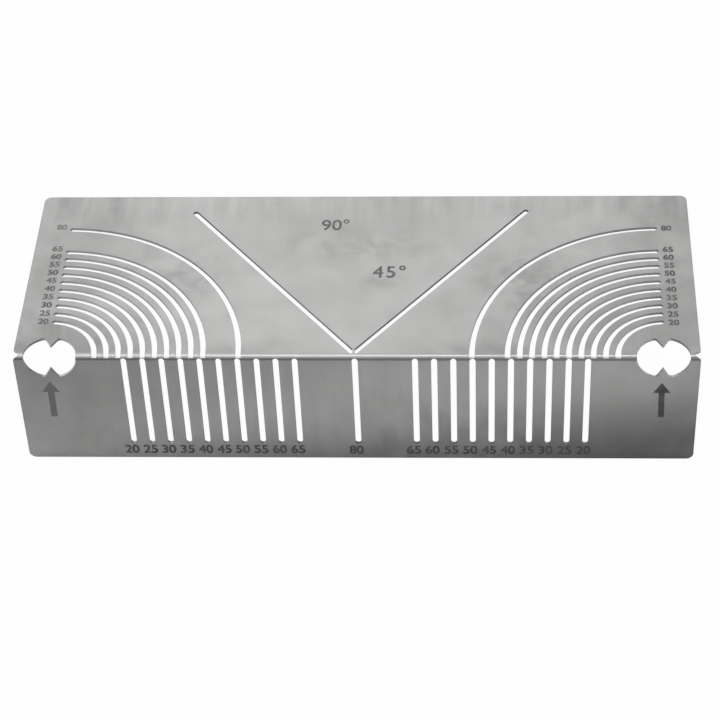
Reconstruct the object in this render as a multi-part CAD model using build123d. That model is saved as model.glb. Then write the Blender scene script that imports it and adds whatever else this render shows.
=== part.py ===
from build123d import *
import math
import os

# Arc marking tool: one steel sheet folded to a right angle, slotted for a scriber or a pencil.
# It is laid over the corner of a square tube to mark where a round-cornered bend is cut out.
# All sizes are in millimetres. A leg is measured on its outer face, from the outer corner of the fold.

# Sheet and legs
sheet = 1.2
inner_radius = 1.0
wide_leg = 103.5
narrow_leg = 58.5
corner_radius = 3.0

# Sight openings: a round opening across the fold near each end, with a pointer from either leg.
# Their centres are the sight lines, and all marks are laid out from them.
sight_offset = 126.0
sight_radius = 11.0
end_web = 4.0
pointer_gap = 11.4
pointer_angle = 60.0
shoulder_radius = 1.4

# Bend reliefs: a notch across the fold at each end of the plate. It is narrow at its bottom, on the wide
# leg's side of the bend, and opens to a flared mouth. Its corners are given on the way out to the plate's
# end: how far from the end, how high on the wide leg, and how many degrees round the bend from that leg.
relief_corners = [(2.3, 2.8, 22.0), (0.7, 3.4, 58.0), (0.0, 4.1, 84.0)]

# Quarter-circle slots in the wide leg, one for each tube size, centred a little outside the sight line.
tube_sizes = [20, 25, 30, 35, 40, 45, 50, 55, 60, 65]
largest_tube = 80
arc_slot_width = 2.3
arc_centre_shift = 1.5
largest_centre_shift = 1.95

# At the bend they end in a shallow groove, whose floor lies this far outside the leg's inner face.
groove_start = 1.4
groove_floor = 0.2

# Cross slots in the narrow leg, one for each tube size, and the largest tube's slot in the middle.
cross_slot_width = 2.5
cross_slot_margin = 8.5
bend_allowance = 0.5

# The two slots of the V in the wide leg, with a thin web between their lower ends.
v_slot_width = 2.4
v_angle = 51.4
v_lean = 0.33
v_offset = -0.5
v_height = 2.4
v_margin = 10.9
v_web = 0.9

# Worked out from the sizes above
plate_length = 2 * (sight_offset + sight_radius + end_web)
outer_radius = inner_radius + sheet
neutral_radius = inner_radius + sheet / 2
half_bend = neutral_radius * math.pi / 4
setback = outer_radius - half_bend
relief_depth = relief_corners[0][0]
through = 2 * outer_radius

# The outer face of each leg, with x along the fold and the leg's length along y or -y.
wide_face = Plane.XY
narrow_face = Plane(origin=(0, 0, 0), x_dir=(1, 0, 0), z_dir=(0, -1, 0))


def folded_blank():
    # The section of the fold, drawn out along the plate, with its four free corners rounded.
    outline = Polyline(
        (0, 0),
        (wide_leg, 0),
        (wide_leg, -sheet),
        (sheet, -sheet),
        (sheet, -narrow_leg),
        (0, -narrow_leg),
        close=True,
    )
    section = make_face(outline)
    section = fillet(section.vertices().sort_by_distance((0, 0, 0))[0], outer_radius)
    section = fillet(section.vertices().sort_by_distance((sheet, -sheet, 0))[0], inner_radius)
    blank = extrude(Plane.YZ * section, plate_length / 2, both=True)
    wide_corners = blank.edges().filter_by(Axis.Z).group_by(Axis.Y)[-1]
    narrow_corners = blank.edges().filter_by(Axis.Y).group_by(Axis.Z)[0]
    return fillet(wide_corners + narrow_corners, corner_radius)


def on_both_ends(shape):
    return shape + mirror(shape, Plane.YZ)


def sight_opening():
    # One leg's share of the opening. The circle is centred on the middle of the bend, in the flat sheet.
    tip = setback + pointer_gap / 2
    length = setback + 2 * sight_radius - tip
    half_width = length * math.tan(math.radians(pointer_angle / 2))
    base = tip + length
    pointer = make_face(Polyline((0, tip), (half_width, base), (-half_width, base), close=True))
    straight = Pos(0, outer_radius) * Rectangle(
        2 * sight_radius, 2 * sight_radius, align=(Align.CENTER, Align.MIN)
    )
    leg_share = (Pos(0, setback) * Circle(sight_radius) & straight) - pointer
    leg_share = fillet(leg_share.vertices().group_by(Axis.Y)[-1], shoulder_radius)
    bend_width = 2 * math.sqrt(sight_radius**2 - half_bend**2)
    cutter = extrude(wide_face * Pos(sight_offset, 0) * leg_share, through, both=True)
    cutter += extrude(
        narrow_face * Pos(sight_offset, 0) * mirror(leg_share, Plane.XZ), through, both=True
    )
    cutter += Pos(sight_offset, outer_radius, -outer_radius) * Box(
        bend_width, 2 * outer_radius, 2 * outer_radius, align=(Align.CENTER, Align.MAX, Align.MIN)
    )
    return on_both_ends(cutter)


def bend_sector(distance, angle):
    # A section of the cutter across the plate: from the wide leg's edge of the bend round by the angle.
    reach = 2 * outer_radius
    turns = [0, angle / 2, angle]
    rim = [(-reach * math.sin(math.radians(a)), reach * math.cos(math.radians(a))) for a in turns]
    place = Plane(origin=(distance, outer_radius, -outer_radius), x_dir=(0, 1, 0), z_dir=(1, 0, 0))
    return place * make_face(Polyline((0, 0), *rim, close=True))


def bend_relief():
    # One part cuts the wide leg square, the other cuts the bend and widens round it towards the end.
    end = plate_length / 2
    past_end = (-relief_depth, *relief_corners[-1][1:])
    corners = [*relief_corners, past_end]
    flat_outline = [(end - depth, height) for depth, height, angle in corners]
    flat_outline += [(end + relief_depth, outer_radius), (end - relief_depth, outer_radius)]
    cutter = extrude(wide_face * make_face(Polyline(*flat_outline, close=True)), -outer_radius)
    sectors = [bend_sector(end - depth, angle) for depth, height, angle in corners]
    for inner, outer in zip(sectors, sectors[1:]):
        cutter += loft([inner, outer], ruled=True)
    return on_both_ends(cutter)


def arc_slot(tube_size):
    # A quarter circle from the fold to the sight line, about a centre level with the inner corner.
    centre_shift = largest_centre_shift if tube_size == largest_tube else arc_centre_shift
    centre = sight_offset + centre_shift
    to_sight = math.degrees(math.asin(centre_shift / tube_size))
    arc = CenterArc((centre, sheet), tube_size, 90 + to_sight, 90 - to_sight)
    foot = Pos(centre - tube_size, 0) * Rectangle(arc_slot_width, sheet, align=(Align.CENTER, Align.MIN))
    return SlotArc(arc, arc_slot_width).face() + foot


def arc_slots():
    # They go through the wide leg, but over the bend they are only grooves, so the legs stay joined.
    slots = Sketch()
    for tube_size in tube_sizes + [largest_tube]:
        slots += arc_slot(tube_size)
    off_the_bend = Pos(0, groove_start) * Rectangle(
        plate_length, wide_leg, align=(Align.CENTER, Align.MIN)
    )
    cutter = extrude(wide_face * (slots & off_the_bend), -through)
    cutter += extrude(wide_face * slots, groove_floor - sheet)
    return on_both_ends(cutter)


def v_slots():
    # Two round-ended slots that rise from one foot, parted by the web and cut off square at the bend.
    foot = Pos(v_offset, v_height)
    length = (wide_leg - v_margin - v_height) / math.sin(math.radians(v_angle))
    arm = Pos(length / 2, 0) * SlotCenterToCenter(length, v_slot_width)
    above_bend = Pos(0, outer_radius) * Rectangle(
        plate_length, wide_leg, align=(Align.CENTER, Align.MIN)
    )
    arms = Sketch()
    for angle in (v_angle + v_lean, 180 - v_angle + v_lean):
        arms += foot * Rot(0, 0, angle) * arm
    arms -= foot * Rectangle(v_web, wide_leg)
    return extrude(wide_face * (arms & above_bend), through, both=True)


def cross_slots():
    # Each slot lies from the sight line by the length of the quarter bend that its tube will take.
    length = narrow_leg - cross_slot_margin - sheet
    slot = Pos(0, -sheet - length / 2) * Rot(0, 0, 90) * SlotOverall(length, cross_slot_width)
    row = Sketch() + slot
    for tube_size in tube_sizes:
        place = sight_offset - math.pi / 2 * (tube_size - bend_allowance)
        for side in (-1, 1):
            row += Pos(side * place, 0) * slot
    return extrude(narrow_face * row, -through)


def at_rest(plate):
    # The tool lies on its two free edges with the fold upward, centred over the ground.
    tilt = math.atan2(narrow_leg - sheet, wide_leg - sheet)
    height = wide_leg * math.sin(tilt) + sheet * math.cos(tilt)
    middle = (wide_leg * math.cos(tilt) - narrow_leg * math.sin(tilt)) / 2
    return Pos(0, -middle, height) * Rot(-math.degrees(tilt), 0, 0) * plate


def marking_plate():
    plate = folded_blank()
    plate -= sight_opening()
    plate -= bend_relief()
    plate -= arc_slots()
    plate -= v_slots()
    plate -= cross_slots()
    return at_rest(plate)


os.makedirs("parts", exist_ok=True)
plate = marking_plate()
export_step(plate, "parts/marking_plate.step")
print("marking_plate", plate.bounding_box(), "volume", round(plate.volume))
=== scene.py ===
import math

import bpy
from mathutils import Matrix, Vector


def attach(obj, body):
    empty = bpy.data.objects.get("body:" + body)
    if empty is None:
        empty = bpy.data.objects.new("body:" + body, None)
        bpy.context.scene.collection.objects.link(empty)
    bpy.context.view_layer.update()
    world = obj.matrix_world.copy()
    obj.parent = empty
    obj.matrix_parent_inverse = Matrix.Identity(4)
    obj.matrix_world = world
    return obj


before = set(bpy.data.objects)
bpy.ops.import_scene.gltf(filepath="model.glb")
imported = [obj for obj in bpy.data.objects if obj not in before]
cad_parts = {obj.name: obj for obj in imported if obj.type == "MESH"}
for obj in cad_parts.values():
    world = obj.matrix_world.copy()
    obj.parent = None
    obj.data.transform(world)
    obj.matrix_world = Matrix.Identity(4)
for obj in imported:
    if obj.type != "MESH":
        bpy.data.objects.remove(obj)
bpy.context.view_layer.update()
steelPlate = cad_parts["marking_plate"]
print("frame loaded:", ", ".join(sorted(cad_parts)))

mm = 0.001

# The folded sheet in millimetres, each leg measured on its outer face from the outer corner of the fold.
plate = {
    "length": 282.0,
    "wideLeg": 103.5,
    "narrowLeg": 58.5,
    "sheet": 1.2,
}
tilt = math.atan2(plate["narrowLeg"] - plate["sheet"], plate["wideLeg"] - plate["sheet"])
foldHeight = plate["wideLeg"] * math.sin(tilt) + plate["sheet"] * math.cos(tilt)
foldSetback = (plate["wideLeg"] * math.cos(tilt) - plate["narrowLeg"] * math.sin(tilt)) / 2

# The fold's own axes: x along the fold, y up the wide leg, z out of it. Here their unit is the millimetre.
wideFace = (
    Matrix.Translation((0, -foldSetback * mm, foldHeight * mm))
    @ Matrix.Rotation(-tilt, 4, "X")
    @ Matrix.Scale(mm, 4)
)
narrowFace = wideFace @ Matrix.Rotation(math.radians(90), 4, "X")


def addNode(tree, kind, settings=None, values=None):
    # values are the node's own socket values, by name or by number
    node = tree.nodes.new(kind)
    for name, value in (settings or {}).items():
        setattr(node, name, value)
    for socket, value in (values or {}).items():
        node.inputs[socket].default_value = value
    return node


def linkNodes(tree, *pairs):
    for source, target in pairs:
        tree.links.new(source, target)


# Camera, at the photograph's viewing angle, with its places in metres

photoCamera = {
    "place": (0.0538, -0.3316, 0.9905),
    "aim": (-0.00046, -0.01568, 0),
    "roll": math.radians(-9.236),  # about the line of sight
    "lens": 120.83,
    "sensor": 36,  # lens and sensor in camera millimetres
    "clipStart": 0.01,
}


def lookingFrom(place, aim):
    turn = (Vector(aim) - Vector(place)).to_track_quat("-Z", "Y").to_matrix().to_4x4()
    return Matrix.Translation(place) @ turn


def makeCamera():
    data = bpy.data.cameras.new("photoCamera")
    data.lens = photoCamera["lens"]
    data.sensor_width = photoCamera["sensor"]
    data.clip_start = photoCamera["clipStart"]
    camera = bpy.data.objects.new("photoCamera", data)
    roll = Matrix.Rotation(photoCamera["roll"], 4, "Z")
    camera.matrix_world = lookingFrom(photoCamera["place"], photoCamera["aim"]) @ roll
    bpy.context.scene.collection.objects.link(camera)
    bpy.context.scene.camera = camera


makeCamera()
print("camera placed")


# Studio: a pale floor, a room that is bright behind the object and dim in front, and soft lamps.
# It is in metres and watts.

studio = {
    "floorSize": 6.0,
    "floorColour": (0.75, 0.75, 0.75, 1),
    "floorGlowSeen": 0.98,  # share of the floor's look that is plain white to the camera
    "floorGlowReflected": 0.052,  # what the floor adds to reflections of it in the steel
    "roomColour": (1, 1, 1, 1),
    "roomSeen": 1,  # white to the camera
    "roomBehind": 0.48,
    "roomInFront": 0.18,
    "roomBlend": 0.6,  # how far from the middle the room reaches either level
    "lampAim": (0, 0, 0),
    "lamps": {
        "leftKey": {"place": (-0.9, 1.2, 0.85), "size": (1.0, 1.0), "power": 8},
        "leftFill": {"place": (-1.4, 0.5, 0.4), "size": (1.3, 1.3), "power": 3},
        "topStrip": {"place": (0, 0.55, 1.3), "size": (1.6, 0.5), "power": 6},
        "frontStrip": {"place": (-0.3, -0.5, 1.4), "size": (1.0, 0.6), "power": 1.5},
        "backPanel": {"place": (0, 1.6, 0.4), "size": (1.4, 0.5), "power": 2.1},
        "frontPanel": {"place": (0, -1.7, 1.15), "size": (2.4, 1.2), "power": 2.0},
    },
}


def makeFloor():
    half = studio["floorSize"] / 2
    mesh = bpy.data.meshes.new("floor")
    corners = [(-half, -half, 0), (half, -half, 0), (half, half, 0), (-half, half, 0)]
    mesh.from_pydata(corners, [], [(0, 1, 2, 3)])
    floor = bpy.data.objects.new("floor", mesh)
    bpy.context.scene.collection.objects.link(floor)

    material = bpy.data.materials.new("paleFloor")
    material.use_nodes = True
    tree = material.node_tree
    tree.nodes.clear()
    paper = addNode(tree, "ShaderNodeBsdfDiffuse", values={"Color": studio["floorColour"]})
    glow = addNode(tree, "ShaderNodeEmission")
    sheen = addNode(tree, "ShaderNodeEmission")
    rays = addNode(tree, "ShaderNodeLightPath")
    seen = addNode(tree, "ShaderNodeMath", {"operation": "ADD"})
    multiply = {"operation": "MULTIPLY"}
    seenShare = addNode(tree, "ShaderNodeMath", multiply, {1: studio["floorGlowSeen"]})
    reflected = addNode(tree, "ShaderNodeMath", multiply, {1: studio["floorGlowReflected"]})
    blend = addNode(tree, "ShaderNodeMixShader")
    both = addNode(tree, "ShaderNodeAddShader")
    output = addNode(tree, "ShaderNodeOutputMaterial")
    linkNodes(
        tree,
        (rays.outputs["Is Camera Ray"], seen.inputs[0]),
        (rays.outputs["Is Transmission Ray"], seen.inputs[1]),
        (seen.outputs[0], seenShare.inputs[0]),
        (seenShare.outputs[0], blend.inputs["Fac"]),
        (paper.outputs[0], blend.inputs[1]),
        (glow.outputs[0], blend.inputs[2]),
        (rays.outputs["Is Glossy Ray"], reflected.inputs[0]),
        (reflected.outputs[0], sheen.inputs["Strength"]),
        (blend.outputs[0], both.inputs[0]),
        (sheen.outputs[0], both.inputs[1]),
        (both.outputs[0], output.inputs["Surface"]),
    )
    mesh.materials.append(material)


def makeRoom():
    world = bpy.data.worlds.new("room")
    world.use_nodes = True
    tree = world.node_tree
    room = tree.nodes["Background"]
    room.inputs["Color"].default_value = studio["roomColour"]
    place = addNode(tree, "ShaderNodeTexCoord")
    axes = addNode(tree, "ShaderNodeSeparateXYZ")
    depth = addNode(tree, "ShaderNodeMapRange", {"interpolation_type": "SMOOTHSTEP"}, {
        "From Min": -studio["roomBlend"],
        "From Max": studio["roomBlend"],
        "To Min": studio["roomInFront"],
        "To Max": studio["roomBehind"],
    })
    rays = addNode(tree, "ShaderNodeLightPath")
    strength = addNode(tree, "ShaderNodeMix", values={"B": studio["roomSeen"]})
    linkNodes(
        tree,
        (place.outputs["Generated"], axes.inputs[0]),
        (axes.outputs["Y"], depth.inputs["Value"]),
        (rays.outputs["Is Camera Ray"], strength.inputs["Factor"]),
        (depth.outputs[0], strength.inputs["A"]),
        (strength.outputs["Result"], room.inputs["Strength"]),
    )
    bpy.context.scene.world = world


def makeLamps():
    for name, lamp in studio["lamps"].items():
        data = bpy.data.lights.new(name, "AREA")
        data.shape = "RECTANGLE"
        data.size, data.size_y = lamp["size"]
        data.energy = lamp["power"]
        lampObject = bpy.data.objects.new(name, data)
        lampObject.matrix_world = lookingFrom(lamp["place"], studio["lampAim"])
        bpy.context.scene.collection.objects.link(lampObject)


makeFloor()
makeRoom()
makeLamps()
bpy.context.scene.view_settings.view_transform = "Standard"
print("studio lit")


# Effects that the steel and the engraving share

noiseMiddle = 0.5  # the mean of a noise
patchBorder = 3.0  # a patch fades out over this many millimetres towards the fold


def startGroup(name, inputs, outputs):
    # inputs: name, kind and value. outputs: name and kind.
    group = bpy.data.node_groups.new(name, "ShaderNodeTree")
    for label, kind, value in inputs:
        socket = group.interface.new_socket(name=label, in_out="INPUT", socket_type=kind)
        if value is not None:
            socket.default_value = value
    for label, kind in outputs:
        group.interface.new_socket(name=label, in_out="OUTPUT", socket_type=kind)
    return group, group.nodes.new("NodeGroupInput"), group.nodes.new("NodeGroupOutput")


def unrolledSheetGroup():
    # Millimetres along the fold, and from the fold up the wide leg (+) or down the narrow leg (-)
    group, given, result = startGroup(
        "unrolledSheet",
        [("Place", "NodeSocketVector", None)],
        [("Sheet", "NodeSocketVector"), ("Along", "NodeSocketFloat"), ("From Fold", "NodeSocketFloat")],
    )
    toFold = wideFace.inverted()
    turned = addNode(group, "ShaderNodeMapping", values={
        "Location": toFold.to_translation(),
        "Rotation": toFold.to_euler(),
        "Scale": toFold.to_scale(),
    })
    axes = addNode(group, "ShaderNodeSeparateXYZ")
    fromFold = addNode(group, "ShaderNodeMath", {"operation": "ADD"})
    flat = addNode(group, "ShaderNodeCombineXYZ")
    linkNodes(
        group,
        (given.outputs["Place"], turned.inputs["Vector"]),
        (turned.outputs[0], axes.inputs[0]),
        (axes.outputs["Y"], fromFold.inputs[0]),
        (axes.outputs["Z"], fromFold.inputs[1]),
        (axes.outputs["X"], flat.inputs["X"]),
        (fromFold.outputs[0], flat.inputs["Y"]),
        (flat.outputs[0], result.inputs["Sheet"]),
        (axes.outputs["X"], result.inputs["Along"]),
        (fromFold.outputs[0], result.inputs["From Fold"]),
    )
    return group


def brushLinesGroup():
    # Straight grinding lines across the fold
    group, given, result = startGroup(
        "brushLines",
        [
            ("Sheet", "NodeSocketVector", None),
            ("Pitch", "NodeSocketFloat", 1.0),
            ("Length", "NodeSocketFloat", 30.0),
            ("Layer", "NodeSocketFloat", 0.0),
        ],
        [("Lines", "NodeSocketFloat")],
    )
    axes = addNode(group, "ShaderNodeSeparateXYZ")
    across = addNode(group, "ShaderNodeMath", {"operation": "DIVIDE"})
    along = addNode(group, "ShaderNodeMath", {"operation": "DIVIDE"})
    squeezed = addNode(group, "ShaderNodeCombineXYZ")
    noise = addNode(group, "ShaderNodeTexNoise", values={"Scale": 1.0, "Detail": 2.0, "Roughness": 0.6})
    linkNodes(
        group,
        (given.outputs["Sheet"], axes.inputs[0]),
        (axes.outputs["X"], across.inputs[0]),
        (given.outputs["Pitch"], across.inputs[1]),
        (axes.outputs["Y"], along.inputs[0]),
        (given.outputs["Length"], along.inputs[1]),
        (across.outputs[0], squeezed.inputs["X"]),
        (along.outputs[0], squeezed.inputs["Y"]),
        (given.outputs["Layer"], squeezed.inputs["Z"]),
        (squeezed.outputs[0], noise.inputs["Vector"]),
        (noise.outputs["Fac"], result.inputs["Lines"]),
    )
    return group


def handSmudgesGroup():
    # Cloudy patches where the sheet was handled, from 0 to 1
    group, given, result = startGroup(
        "handSmudges",
        [
            ("Sheet", "NodeSocketVector", None),
            ("Size", "NodeSocketFloat", 12.0),
            ("Softness", "NodeSocketFloat", 0.2),
            ("Layer", "NodeSocketFloat", 0.0),
        ],
        [("Smudge", "NodeSocketFloat")],
    )
    scale = addNode(group, "ShaderNodeMath", {"operation": "DIVIDE"}, {0: 1.0})
    noise = addNode(group, "ShaderNodeTexNoise", {"noise_dimensions": "4D"}, {
        "Detail": 4.0,
        "Roughness": 0.5,
        "Distortion": 0.6,
    })
    low = addNode(group, "ShaderNodeMath", {"operation": "SUBTRACT"}, {0: noiseMiddle})
    high = addNode(group, "ShaderNodeMath", {"operation": "ADD"}, {0: noiseMiddle})
    cloud = addNode(group, "ShaderNodeMapRange", {"interpolation_type": "SMOOTHSTEP"})
    linkNodes(
        group,
        (given.outputs["Size"], scale.inputs[1]),
        (scale.outputs[0], noise.inputs["Scale"]),
        (given.outputs["Sheet"], noise.inputs["Vector"]),
        (given.outputs["Layer"], noise.inputs["W"]),
        (given.outputs["Softness"], low.inputs[1]),
        (given.outputs["Softness"], high.inputs[1]),
        (noise.outputs["Fac"], cloud.inputs["Value"]),
        (low.outputs[0], cloud.inputs["From Min"]),
        (high.outputs[0], cloud.inputs["From Max"]),
        (cloud.outputs[0], result.inputs["Smudge"]),
    )
    return group


def softOvalPatchGroup():
    # A soft oval patch on one leg, with a cloudy border, from 0 to 1
    group, given, result = startGroup(
        "softOvalPatch",
        [
            ("Sheet", "NodeSocketVector", None),
            ("Centre", "NodeSocketVector", None),
            ("Reach", "NodeSocketVector", None),
            ("Clouds", "NodeSocketFloat", noiseMiddle),
            ("Cloudiness", "NodeSocketFloat", 0.0),
        ],
        [("Patch", "NodeSocketFloat")],
    )
    away = addNode(group, "ShaderNodeVectorMath", {"operation": "SUBTRACT"})
    oval = addNode(group, "ShaderNodeVectorMath", {"operation": "DIVIDE"})
    distance = addNode(group, "ShaderNodeVectorMath", {"operation": "LENGTH"})
    cloud = addNode(group, "ShaderNodeMath", {"operation": "SUBTRACT"}, {1: noiseMiddle})
    ragged = addNode(group, "ShaderNodeMath", {"operation": "MULTIPLY_ADD"})
    patch = addNode(group, "ShaderNodeMapRange", {"interpolation_type": "SMOOTHSTEP"}, {
        "From Min": 0.0,
        "From Max": 1.0,
        "To Min": 1.0,
        "To Max": 0.0,
    })
    here = addNode(group, "ShaderNodeSeparateXYZ")
    middle = addNode(group, "ShaderNodeSeparateXYZ")
    side = addNode(group, "ShaderNodeMath", {"operation": "SIGN"})
    onLeg = addNode(group, "ShaderNodeMath", {"operation": "MULTIPLY"})
    inside = addNode(group, "ShaderNodeMapRange", values={"From Min": 0.0, "From Max": patchBorder})
    kept = addNode(group, "ShaderNodeMath", {"operation": "MULTIPLY"})
    linkNodes(
        group,
        (given.outputs["Sheet"], away.inputs[0]),
        (given.outputs["Centre"], away.inputs[1]),
        (away.outputs[0], oval.inputs[0]),
        (given.outputs["Reach"], oval.inputs[1]),
        (oval.outputs[0], distance.inputs[0]),
        (given.outputs["Clouds"], cloud.inputs[0]),
        (cloud.outputs[0], ragged.inputs[0]),
        (given.outputs["Cloudiness"], ragged.inputs[1]),
        (distance.outputs["Value"], ragged.inputs[2]),
        (ragged.outputs[0], patch.inputs["Value"]),
        (given.outputs["Sheet"], here.inputs[0]),
        (given.outputs["Centre"], middle.inputs[0]),
        (middle.outputs["Y"], side.inputs[0]),
        (side.outputs[0], onLeg.inputs[0]),
        (here.outputs["Y"], onLeg.inputs[1]),
        (onLeg.outputs[0], inside.inputs["Value"]),
        (inside.outputs[0], kept.inputs[0]),
        (patch.outputs[0], kept.inputs[1]),
        (kept.outputs[0], result.inputs["Patch"]),
    )
    return group


unrolledSheet = unrolledSheetGroup()
brushLines = brushLinesGroup()
handSmudges = handSmudgesGroup()
softOvalPatch = softOvalPatchGroup()


def useGroup(tree, group, values=None):
    node = tree.nodes.new("ShaderNodeGroup")
    node.node_tree = group
    for name, value in (values or {}).items():
        node.inputs[name].default_value = value
    return node


def startMaterial(name):
    material = bpy.data.materials.new(name)
    material.use_nodes = True
    tree = material.node_tree
    place = addNode(tree, "ShaderNodeTexCoord")
    sheet = useGroup(tree, unrolledSheet)
    linkNodes(tree, (place.outputs["Object"], sheet.inputs["Place"]))
    return material, tree, tree.nodes["Principled BSDF"], sheet


def mathNode(tree, operation, first, second=None, third=None, clamp=False):
    # Each term is a socket or a number
    node = tree.nodes.new("ShaderNodeMath")
    node.operation = operation
    node.use_clamp = clamp
    for index, term in enumerate((first, second, third)):
        if term is None:
            continue
        if isinstance(term, (int, float)):
            node.inputs[index].default_value = term
        else:
            tree.links.new(term, node.inputs[index])
    return node.outputs[0]


def mixColours(tree, share, first, second):
    # Each colour is a socket or a tuple. A Mix node's colours are its inputs 6 and 7 and its output 2.
    node = addNode(tree, "ShaderNodeMix", {"data_type": "RGBA"})
    tree.links.new(share, node.inputs[0])
    for index, term in ((6, first), (7, second)):
        if isinstance(term, tuple):
            node.inputs[index].default_value = term
        else:
            tree.links.new(term, node.inputs[index])
    return node.outputs[2]


def fadeIn(tree, value, start, end):
    # 0 up to start and 1 from end
    node = addNode(tree, "ShaderNodeMapRange", {"interpolation_type": "SMOOTHSTEP"}, {
        "From Min": start,
        "From Max": end,
    })
    tree.links.new(value, node.inputs["Value"])
    return node.outputs[0]


def onSheet(tree, flat, group, values):
    # A group that reads its place on the unrolled sheet
    node = useGroup(tree, group, values)
    tree.links.new(flat, node.inputs["Sheet"])
    return node.outputs[0]


def ovalPatch(tree, flat, place, clouds=None, cloudiness=0.0):
    node = useGroup(tree, softOvalPatch, {
        "Centre": (*place["centre"], 0),
        "Reach": (*place["reach"], 1),
        "Cloudiness": cloudiness,
    })
    tree.links.new(flat, node.inputs["Sheet"])
    if clouds is not None:
        tree.links.new(clouds, node.inputs["Clouds"])
    return node.outputs[0]


# Brushed steel of the folded sheet. Places and lengths are in millimetres on the unrolled sheet.

steel = {
    "light": (0.800, 0.800, 0.792, 1),  # at tone 1
    "dark": (0.100, 0.100, 0.098, 1),  # at tone 0
    "cutEdge": (0.700, 0.700, 0.695, 1),
    "plainTone": 0.5,  # the shares below move the tone up or down from this
    "shares": {
        "fineLines": 0.032,
        "coarseLines": 0.030,
        "smudges": 0.035,
        "edgeStreaks": 0.27,
        "cornerStreaks": 0.30,
        "slotScuffs": 0.26,
        "paintedFoldHighlight": 0.08,
        "paintedCrestHighlight": 0.33,
        "paintedBendShade": -0.21,
        "rim": -0.07,
        "fingerMarks": -0.13,
    },
    # Pitch is measured across the lines and Length along them. Each kind has its own layer of noise.
    "lines": {
        "fineLines": {"Pitch": 0.45, "Length": 25.0, "Layer": 3.0},
        "coarseLines": {"Pitch": 1.8, "Length": 60.0, "Layer": 7.0},
        "edgeStreaks": {"Pitch": 5.0, "Length": 45.0, "Layer": 2.0},
        "cornerStreaks": {"Pitch": 11.0, "Length": 60.0, "Layer": 5.0},
        "slotScuffs": {"Pitch": 8.0, "Length": 40.0, "Layer": 9.0},
    },
    "smudges": {"Size": 16.0, "Softness": 0.22, "Layer": 1.0},
    "fingerMarks": {"Size": 9.0, "Softness": 0.13, "Layer": 6.0},
    "streaksStart": 24.0,  # streaks begin this far from the wide leg's free edge
    "streaksFull": 4.0,  # and are full this near to it
    "streakedCorner": {"centre": (-118, 104), "reach": (62, 36)},
    "scuffedSlots": {"centre": (0, -28), "reach": (125, 75)},
    # Along the fold: painted highlight over its whole width, a stronger painted highlight on its crest,
    # and painted shade just below it
    "strips": {
        "paintedFoldHighlight": {"centre": -0.3, "core": 0.5, "reach": 2.2},
        "paintedCrestHighlight": {"centre": 0.36, "core": 0.1, "reach": 0.43},
        "paintedBendShade": {"centre": -1.15, "core": 0.2, "reach": 1.1},
    },
    # Painted shade (-) and painted highlight (+): where the steel's reflections are darker or brighter,
    # the sheet's own shadow on the floor among them
    "paintedShadeAndHighlight": {
        "leftEnd": {"centre": (-155, 39), "reach": (149, 45), "tone": -0.10},
        "leftCorner": {"centre": (-126, 4), "reach": (99, 31), "tone": -0.27},
        "leftTop": {"centre": (-124, 82), "reach": (61, 82), "tone": -0.16},
        "rightCorner": {"centre": (133, 21), "reach": (124, 60), "tone": -0.18},
        "rightTop": {"centre": (138, 90), "reach": (49, 57), "tone": -0.16},
        "topMiddle": {"centre": (-16, 79), "reach": (44, 36), "tone": -0.05},
        "topRightOfMiddle": {"centre": (20, 88), "reach": (20, 29), "tone": -0.08},
        "darkAboveFoldLeft": {"centre": (-44, 2), "reach": (34, 12), "tone": -0.10},
        "darkAboveFoldRight": {"centre": (56, 1), "reach": (41, 12), "tone": -0.13},
        "belowFoldLeft": {"centre": (-117, -8), "reach": (50, 57), "tone": -0.09},
        "belowFoldMiddle": {"centre": (49, -33), "reach": (112, 62), "tone": 0.35},
        "belowFoldRight": {"centre": (118, -8), "reach": (75, 37), "tone": 0.25},
        "slotsLeft": {"centre": (-41, -41), "reach": (78, 26), "tone": 0.17},
        "footMiddle": {"centre": (-1, -57), "reach": (127, 41), "tone": -0.29},
        "footRight": {"centre": (96, -54), "reach": (133, 70), "tone": -0.45},
    },
    # Where fingers left darker marks
    "handled": {
        "belowAngleMark": {"centre": (0, 71), "reach": (44, 15)},
        "belowHalfMark": {"centre": (9, 47), "reach": (15, 9)},
        "rightArcs": {"centre": (70, 48), "reach": (32, 38)},
        "leftArcs": {"centre": (-72, 50), "reach": (24, 22)},
    },
    "cloudiness": 0.15,  # how uneven the border of such a place is
    "rimWidth": 0.5,
    # Cosine between a face's direction and its leg's: a cut wall up to the first, none from the second
    "wallFade": (0.35, 0.6),
    "roughness": 0.38,
    "smudgeRoughness": -0.06,
    "cutRoughness": 0.45,
    "lineDepth": 0.010,
    "lineStrength": 0.25,
}


def cutFaceMask(tree, sheet):
    # 1 on the walls of slots and openings and on the free edges, 0 on the faces of the legs and the bend
    surface = addNode(tree, "ShaderNodeNewGeometry")
    facing = []
    for matrix in (wideFace, narrowFace):
        outward = (matrix.to_3x3() @ Vector((0, 0, 1))).normalized()
        dot = addNode(tree, "ShaderNodeVectorMath", {"operation": "DOT_PRODUCT"}, {1: outward})
        tree.links.new(surface.outputs["Normal"], dot.inputs[0])
        facing.append(mathNode(tree, "ABSOLUTE", dot.outputs["Value"]))
    facingWide, facingNarrow = facing
    onWideLeg = mathNode(tree, "GREATER_THAN", sheet.outputs["From Fold"], 0.0)
    leg = addNode(tree, "ShaderNodeMix")
    linkNodes(
        tree,
        (onWideLeg, leg.inputs["Factor"]),
        (facingNarrow, leg.inputs["A"]),
        (facingWide, leg.inputs["B"]),
    )
    return mathNode(tree, "SUBTRACT", 1.0, fadeIn(tree, leg.outputs["Result"], *steel["wallFade"]))


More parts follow.
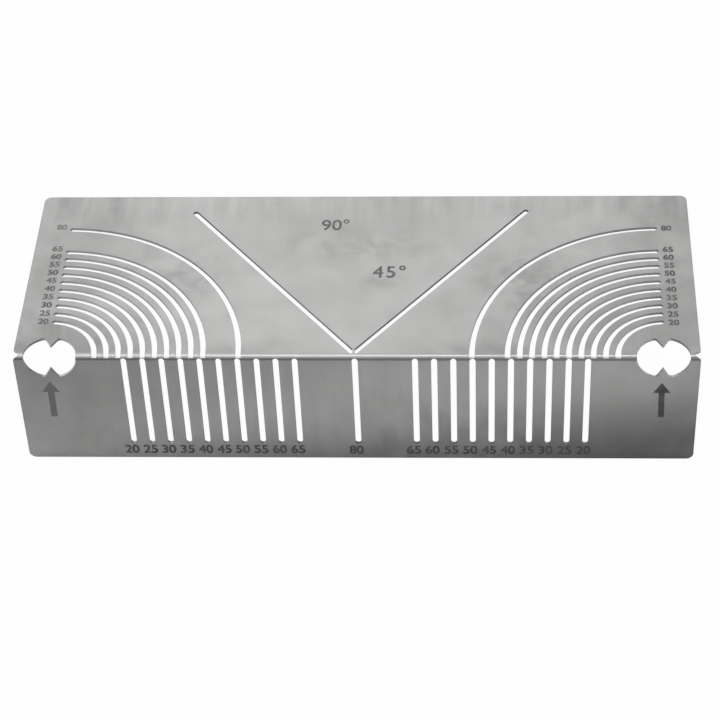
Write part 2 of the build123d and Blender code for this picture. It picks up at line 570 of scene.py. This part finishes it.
def rimMask(tree, sheet):
    # 1 at the sheet's outline, fading out over the rim's width
    width = steel["rimWidth"]
    side = mathNode(tree, "ABSOLUTE", sheet.outputs["Along"])
    fromSide = mathNode(tree, "SUBTRACT", side, plate["length"] / 2 - width)
    fromTop = mathNode(tree, "SUBTRACT", sheet.outputs["From Fold"], plate["wideLeg"] - width)
    lowered = mathNode(tree, "MULTIPLY", sheet.outputs["From Fold"], -1.0)
    fromFoot = mathNode(tree, "SUBTRACT", lowered, plate["narrowLeg"] - width)
    nearest = mathNode(tree, "MAXIMUM", fromSide, mathNode(tree, "MAXIMUM", fromTop, fromFoot))
    return mathNode(tree, "DIVIDE", nearest, width, clamp=True)


def stripMask(tree, sheet, strip):
    # 1 along a strip beside the fold, fading out from its core to its reach
    offset = mathNode(tree, "SUBTRACT", sheet.outputs["From Fold"], strip["centre"])
    away = fadeIn(tree, mathNode(tree, "ABSOLUTE", offset), strip["core"], strip["reach"])
    return mathNode(tree, "SUBTRACT", 1.0, away)


def steelTone(tree, sheet, lines, smudges):
    # Every effect is a mask times its share of tone
    flat = sheet.outputs["Sheet"]
    shares = steel["shares"]
    fingers = onSheet(tree, flat, handSmudges, steel["fingerMarks"])
    top = plate["wideLeg"]
    nearTop = fadeIn(
        tree, sheet.outputs["From Fold"], top - steel["streaksStart"], top - steel["streaksFull"]
    )
    effects = []

    # These go both ways from the plain tone, everywhere or inside a mask
    bothWays = [
        ("fineLines", lines["fineLines"], None),
        ("coarseLines", lines["coarseLines"], None),
        ("smudges", smudges, None),
        ("edgeStreaks", lines["edgeStreaks"], nearTop),
        ("cornerStreaks", lines["cornerStreaks"], ovalPatch(tree, flat, steel["streakedCorner"])),
        ("slotScuffs", lines["slotScuffs"], ovalPatch(tree, flat, steel["scuffedSlots"])),
    ]
    for name, noise, mask in bothWays:
        level = mathNode(tree, "SUBTRACT", noise, noiseMiddle)
        if mask is not None:
            level = mathNode(tree, "MULTIPLY", level, mask)
        effects.append((level, shares[name]))

    # The fold's painted highlight and the painted shade just below it, in the steel's colour
    for name, strip in steel["strips"].items():
        effects.append((stripMask(tree, sheet, strip), shares[name]))
    effects.append((rimMask(tree, sheet), shares["rim"]))
    # Painted shade and painted highlight of the steel's reflections, as soft oval patches with cloudy
    # borders
    for place in steel["paintedShadeAndHighlight"].values():
        patch = ovalPatch(tree, flat, place, smudges, steel["cloudiness"])
        effects.append((patch, place["tone"]))
    for place in steel["handled"].values():
        patch = ovalPatch(tree, flat, place, smudges, steel["cloudiness"])
        effects.append((mathNode(tree, "MULTIPLY", fingers, patch), shares["fingerMarks"]))

    tone = steel["plainTone"]
    for mask, share in effects:
        tone = mathNode(tree, "MULTIPLY_ADD", mask, share, tone)
    return tone


def makeSteel():
    material, tree, shader, sheet = startMaterial("brushedSteel")
    flat = sheet.outputs["Sheet"]
    lines = {name: onSheet(tree, flat, brushLines, kind) for name, kind in steel["lines"].items()}
    smudges = onSheet(tree, flat, handSmudges, steel["smudges"])
    cut = cutFaceMask(tree, sheet)
    tone = steelTone(tree, sheet, lines, smudges)
    colour = mixColours(tree, tone, steel["dark"], steel["light"])
    colour = mixColours(tree, cut, colour, steel["cutEdge"])
    smudged = mathNode(tree, "MULTIPLY_ADD", smudges, steel["smudgeRoughness"], steel["roughness"])
    rough = addNode(tree, "ShaderNodeMix", values={"B": steel["cutRoughness"]})
    bump = addNode(tree, "ShaderNodeBump", values={
        "Strength": steel["lineStrength"],
        "Distance": steel["lineDepth"] * mm,
    })
    shader.inputs["Metallic"].default_value = 1.0
    linkNodes(
        tree,
        (cut, rough.inputs["Factor"]),
        (smudged, rough.inputs["A"]),
        (colour, shader.inputs["Base Color"]),
        (rough.outputs["Result"], shader.inputs["Roughness"]),
        (lines["fineLines"], bump.inputs["Height"]),
        (bump.outputs[0], shader.inputs["Normal"]),
    )
    return material


brushedSteel = makeSteel()
for slot in steelPlate.material_slots:
    slot.material = brushedSteel
print("steel finished")


# Dark burnt surface of the engraved marks, also in millimetres

engraving = {
    "dark": (0.10, 0.10, 0.097, 1),
    "worn": (0.27, 0.27, 0.265, 1),
    "metallic": 0.6,
    "roughness": 0.55,
    "smudgeRoughness": 0.08,
    "thickness": 0.04,
    "proud": 0.02,
    "lines": {"Pitch": 0.4, "Length": 12.0, "Layer": 11.0},
    "smudges": {"Size": 5.0, "Softness": 0.2, "Layer": 5.0},
    "lineWear": 0.6,
    "smudgeWear": 0.5,
    # Where the marks are rubbed paler
    "wornPlaces": {
        "leftArrow": {"centre": (-127, -24), "reach": (22, 36), "wear": 1.1},
        "leftLargest": {"centre": (-131, 83), "reach": (12, 9), "wear": 0.45},
    },
    "cloudiness": 0.2,
}


def makeEngraving():
    material, tree, shader, sheet = startMaterial("engravedMark")
    flat = sheet.outputs["Sheet"]
    lines = onSheet(tree, flat, brushLines, engraving["lines"])
    smudges = onSheet(tree, flat, handSmudges, engraving["smudges"])
    wear = engraving["lineWear"]
    worn = mathNode(tree, "MULTIPLY_ADD", lines, wear, -wear * noiseMiddle)
    worn = mathNode(tree, "MULTIPLY_ADD", smudges, engraving["smudgeWear"], worn)
    for place in engraving["wornPlaces"].values():
        patch = ovalPatch(tree, flat, place, smudges, engraving["cloudiness"])
        worn = mathNode(tree, "MULTIPLY_ADD", patch, place["wear"], worn, clamp=True)
    rough = mathNode(tree, "MULTIPLY_ADD", smudges, engraving["smudgeRoughness"], engraving["roughness"])
    shader.inputs["Metallic"].default_value = engraving["metallic"]
    linkNodes(
        tree,
        (mixColours(tree, worn, engraving["dark"], engraving["worn"]), shader.inputs["Base Color"]),
        (rough, shader.inputs["Roughness"]),
    )
    return material


engravedMark = makeEngraving()


# Rows of engraved numbers. One node tree writes them all, one number for each turn of its loop.

letterSize = 10.0  # before a number is stretched to its width and height
weldDistance = 0.0001  # in millimetres, to close a number's walls


def numberRowTree():
    tree = bpy.data.node_groups.new("numberRow", "GeometryNodeTree")
    tree.interface.new_socket(name="Geometry", in_out="OUTPUT", socket_type="NodeSocketGeometry")
    inputs = [
        ("Count", "NodeSocketInt"),
        ("First", "NodeSocketFloat"),
        ("Step", "NodeSocketFloat"),
        ("Suffix", "NodeSocketString"),
        ("Start", "NodeSocketVector"),
        ("Pitch", "NodeSocketVector"),
        ("Width", "NodeSocketFloat"),
        ("Height", "NodeSocketFloat"),
        ("Letter Spacing", "NodeSocketFloat"),
        ("Boldness", "NodeSocketFloat"),
        ("Thickness", "NodeSocketFloat"),
        ("Proud", "NodeSocketFloat"),
        ("Finish", "NodeSocketMaterial"),
    ]
    for name, kind in inputs:
        tree.interface.new_socket(name=name, in_out="INPUT", socket_type=kind)
    given = tree.nodes.new("NodeGroupInput")
    result = tree.nodes.new("NodeGroupOutput")
    loopStart = tree.nodes.new("GeometryNodeRepeatInput")
    loopEnd = tree.nodes.new("GeometryNodeRepeatOutput")
    loopStart.pair_with_output(loopEnd)
    turn = loopStart.outputs["Iteration"]

    # The number as text
    value = mathNode(tree, "MULTIPLY_ADD", turn, given.outputs["Step"], given.outputs["First"])
    digits = addNode(tree, "FunctionNodeValueToString")
    label = addNode(tree, "GeometryNodeStringJoin")
    letters = addNode(tree, "GeometryNodeStringToCurves", values={"Size": letterSize})
    glyphs = addNode(tree, "GeometryNodeRealizeInstances")
    outlines = addNode(tree, "GeometryNodeResampleCurve", {"mode": "EVALUATED"})
    linkNodes(
        tree,
        (given.outputs["Count"], loopStart.inputs["Iterations"]),
        (value, digits.inputs["Value"]),
        (given.outputs["Suffix"], label.inputs["Strings"]),
        (digits.outputs[0], label.inputs["Strings"]),
        (label.outputs[0], letters.inputs["String"]),
        (given.outputs["Letter Spacing"], letters.inputs["Character Spacing"]),
        (letters.outputs["Curve Instances"], glyphs.inputs[0]),
        (glyphs.outputs[0], outlines.inputs["Curve"]),
    )

    # Its outline, centred and stretched to the asked width and height
    box = addNode(tree, "GeometryNodeBoundBox", values={"Use Radius": False})
    span = addNode(tree, "ShaderNodeVectorMath", {"operation": "SUBTRACT"})
    doubleMiddle = addNode(tree, "ShaderNodeVectorMath", {"operation": "ADD"})
    shift = addNode(tree, "ShaderNodeVectorMath", {"operation": "SCALE"}, {"Scale": -0.5})
    wanted = addNode(tree, "ShaderNodeCombineXYZ", values={"Z": 1.0})
    spanAxes = addNode(tree, "ShaderNodeSeparateXYZ")
    stretch = addNode(tree, "ShaderNodeVectorMath", {"operation": "DIVIDE"})
    measured = addNode(tree, "ShaderNodeCombineXYZ", values={"Z": 1.0})
    centred = addNode(tree, "GeometryNodeTransform")
    sized = addNode(tree, "GeometryNodeTransform")
    linkNodes(
        tree,
        (outlines.outputs[0], box.inputs[0]),
        (box.outputs["Max"], span.inputs[0]),
        (box.outputs["Min"], span.inputs[1]),
        (box.outputs["Max"], doubleMiddle.inputs[0]),
        (box.outputs["Min"], doubleMiddle.inputs[1]),
        (doubleMiddle.outputs[0], shift.inputs[0]),
        (span.outputs[0], spanAxes.inputs[0]),
        (spanAxes.outputs["X"], measured.inputs["X"]),
        (spanAxes.outputs["Y"], measured.inputs["Y"]),
        (given.outputs["Width"], wanted.inputs["X"]),
        (given.outputs["Height"], wanted.inputs["Y"]),
        (wanted.outputs[0], stretch.inputs[0]),
        (measured.outputs[0], stretch.inputs[1]),
        (outlines.outputs[0], centred.inputs["Geometry"]),
        (shift.outputs[0], centred.inputs["Translation"]),
        (centred.outputs[0], sized.inputs["Geometry"]),
        (stretch.outputs[0], sized.inputs["Scale"]),
    )

    # Strokes made bolder by moving the outline sideways, then filled and given their thickness
    upright = addNode(tree, "GeometryNodeSetCurveNormal", {"mode": "Z_UP"})
    sideways = addNode(tree, "GeometryNodeInputNormal")
    growth = addNode(tree, "ShaderNodeVectorMath", {"operation": "SCALE"})
    bolder = addNode(tree, "GeometryNodeSetPosition")
    filled = addNode(tree, "GeometryNodeFillCurve")
    underside = addNode(tree, "GeometryNodeFlipFaces")
    raised = addNode(tree, "GeometryNodeExtrudeMesh", values={"Individual": False})
    joined = addNode(tree, "GeometryNodeJoinGeometry")
    closed = addNode(tree, "GeometryNodeMergeByDistance", values={"Distance": weldDistance})
    linkNodes(
        tree,
        (sized.outputs[0], upright.inputs["Curve"]),
        (upright.outputs[0], bolder.inputs["Geometry"]),
        (sideways.outputs[0], growth.inputs[0]),
        (given.outputs["Boldness"], growth.inputs["Scale"]),
        (growth.outputs[0], bolder.inputs["Offset"]),
        (bolder.outputs[0], filled.inputs["Curve"]),
        (filled.outputs[0], underside.inputs[0]),
        (filled.outputs[0], raised.inputs["Mesh"]),
        (given.outputs["Thickness"], raised.inputs["Offset Scale"]),
        (raised.outputs["Mesh"], joined.inputs[0]),
        (underside.outputs[0], joined.inputs[0]),
        (joined.outputs[0], closed.inputs[0]),
    )

    # Its place in the row, a little proud of the sheet
    along = addNode(tree, "ShaderNodeVectorMath", {"operation": "SCALE"})
    flatPlace = addNode(tree, "ShaderNodeVectorMath", {"operation": "ADD"})
    sunk = mathNode(tree, "SUBTRACT", given.outputs["Proud"], given.outputs["Thickness"])
    depth = addNode(tree, "ShaderNodeCombineXYZ")
    place = addNode(tree, "ShaderNodeVectorMath", {"operation": "ADD"})
    placed = addNode(tree, "GeometryNodeTransform")
    row = addNode(tree, "GeometryNodeJoinGeometry")
    whole = addNode(tree, "GeometryNodeRealizeInstances")
    finish = addNode(tree, "GeometryNodeSetMaterial")
    linkNodes(
        tree,
        (given.outputs["Pitch"], along.inputs[0]),
        (turn, along.inputs["Scale"]),
        (given.outputs["Start"], flatPlace.inputs[0]),
        (along.outputs[0], flatPlace.inputs[1]),
        (sunk, depth.inputs["Z"]),
        (flatPlace.outputs[0], place.inputs[0]),
        (depth.outputs[0], place.inputs[1]),
        (closed.outputs[0], placed.inputs["Geometry"]),
        (place.outputs[0], placed.inputs["Translation"]),
        (placed.outputs[0], row.inputs[0]),
        (loopStart.outputs["Geometry"], row.inputs[0]),
        (row.outputs[0], loopEnd.inputs["Geometry"]),
        (loopEnd.outputs["Geometry"], whole.inputs[0]),
        (whole.outputs[0], finish.inputs["Geometry"]),
        (given.outputs["Finish"], finish.inputs["Material"]),
        (finish.outputs[0], result.inputs[0]),
    )
    return tree


numberRow = numberRowTree()


def addPiece(name, mesh, face):
    # The mesh is drawn in millimetres on a leg's face, and ends in its place with the object unturned
    mesh.transform(face)
    piece = bpy.data.objects.new(name, mesh)
    bpy.context.scene.collection.objects.link(piece)
    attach(piece, "root")


def engraveNumbers(name, face, row):
    blank = bpy.data.objects.new(name + "_blank", bpy.data.meshes.new(name + "_blank"))
    bpy.context.scene.collection.objects.link(blank)
    modifier = blank.modifiers.new("numbers", "NODES")
    modifier.node_group = numberRow
    values = {
        "Suffix": "",
        "Step": 0.0,
        "Pitch": (0, 0, 0),
        "Letter Spacing": 1.0,
        "Thickness": engraving["thickness"],
        "Proud": engraving["proud"],
        "Finish": engravedMark,
    }
    values.update(row)
    for item in numberRow.interface.items_tree:
        if item.in_out == "INPUT":
            modifier[item.identifier] = values[item.name]
    graph = bpy.context.evaluated_depsgraph_get()
    mesh = bpy.data.meshes.new_from_object(blank.evaluated_get(graph))
    bpy.data.objects.remove(blank)
    mesh.name = name
    addPiece(name, mesh, face)


# Places and sizes are in millimetres on the leg's face
tubeSizes = {"Count": 10, "First": 20.0, "Step": 5.0}
largestTube = {"Count": 1, "First": 80.0}
arcDigits = {"Width": 4.15, "Height": 3.15, "Boldness": 0.19}
slotDigits = {"Width": 5.7, "Height": 4.6, "Boldness": 0.21}

arcNumbers = {
    "arc_numbers_left": {**tubeSizes, **arcDigits, "Start": (-131.05, 21.7, 0), "Pitch": (0, 5.2, 0)},
    "arc_numbers_right": {**tubeSizes, **arcDigits, "Start": (131.05, 21.05, 0), "Pitch": (0, 5.15, 0)},
    "arc_largest_left": {**largestTube, **arcDigits, "Start": (-131.0, 82.95, 0)},
    "arc_largest_right": {**largestTube, **arcDigits, "Start": (131.1, 81.5, 0)},
}
slotNumbers = {
    "slot_numbers_left": {**tubeSizes, **slotDigits, "Start": (-96.5, -53.5, 0), "Pitch": (7.867, 0, 0)},
    "slot_numbers_right": {**tubeSizes, **slotDigits, "Start": (94.7, -53.65, 0), "Pitch": (-7.93, 0, 0)},
    "slot_largest": {**largestTube, **slotDigits, "Start": (-0.95, -53.7, 0)},
}
angleMarks = {
    "angle_right": {
        "Count": 1,
        "First": 90.0,
        "Suffix": "°",
        "Start": (-11.5, 84.15, 0),
        "Width": 11.8,
        "Height": 7.2,
        "Boldness": 0.10,
    },
    "angle_half": {
        "Count": 1,
        "First": 45.0,
        "Suffix": "°",
        "Start": (12.7, 53.1, 0),
        "Width": 13.7,
        "Height": 7.7,
        "Boldness": 0.18,
        "Letter Spacing": 1.15,
    },
}

for face, marks in ((wideFace, arcNumbers), (narrowFace, slotNumbers), (wideFace, angleMarks)):
    for name, row in marks.items():
        engraveNumbers(name, face, row)
print("numbers engraved")


# Arrows below the sight openings, in millimetres on the narrow leg's face

arrows = {
    "arrow_left": {
        "tip": (-127.25, -14.0),
        "foot": (-127.55, -34.3),
        "headBase": -20.1,
        "headWidth": 7.6,
        "shaftWidth": 2.8,
    },
    "arrow_right": {
        "tip": (125.8, -14.4),
        "foot": (126.3, -34.1),
        "headBase": -20.1,
        "headWidth": 7.1,
        "shaftWidth": 2.5,
    },
}


def engraveArrow(name, arrow):
    tipX, tipY = arrow["tip"]
    footX, footY = arrow["foot"]
    baseY = arrow["headBase"]
    baseX = tipX + (footX - tipX) * (baseY - tipY) / (footY - tipY)
    halfHead = arrow["headWidth"] / 2
    halfShaft = arrow["shaftWidth"] / 2
    outline = [
        (tipX, tipY),
        (baseX - halfHead, baseY),
        (baseX - halfShaft, baseY),
        (footX - halfShaft, footY),
        (footX + halfShaft, footY),
        (baseX + halfShaft, baseY),
        (baseX + halfHead, baseY),
    ]
    top = engraving["proud"]
    bottom = top - engraving["thickness"]
    count = len(outline)
    points = [(x, y, bottom) for x, y in outline] + [(x, y, top) for x, y in outline]
    faces = [tuple(reversed(range(count))), tuple(range(count, 2 * count))]
    faces += [(i, (i + 1) % count, (i + 1) % count + count, i + count) for i in range(count)]
    mesh = bpy.data.meshes.new(name)
    mesh.from_pydata(points, [], faces)
    mesh.materials.append(engravedMark)
    addPiece(name, mesh, narrowFace)


for name, arrow in arrows.items():
    engraveArrow(name, arrow)
print("arrows engraved")
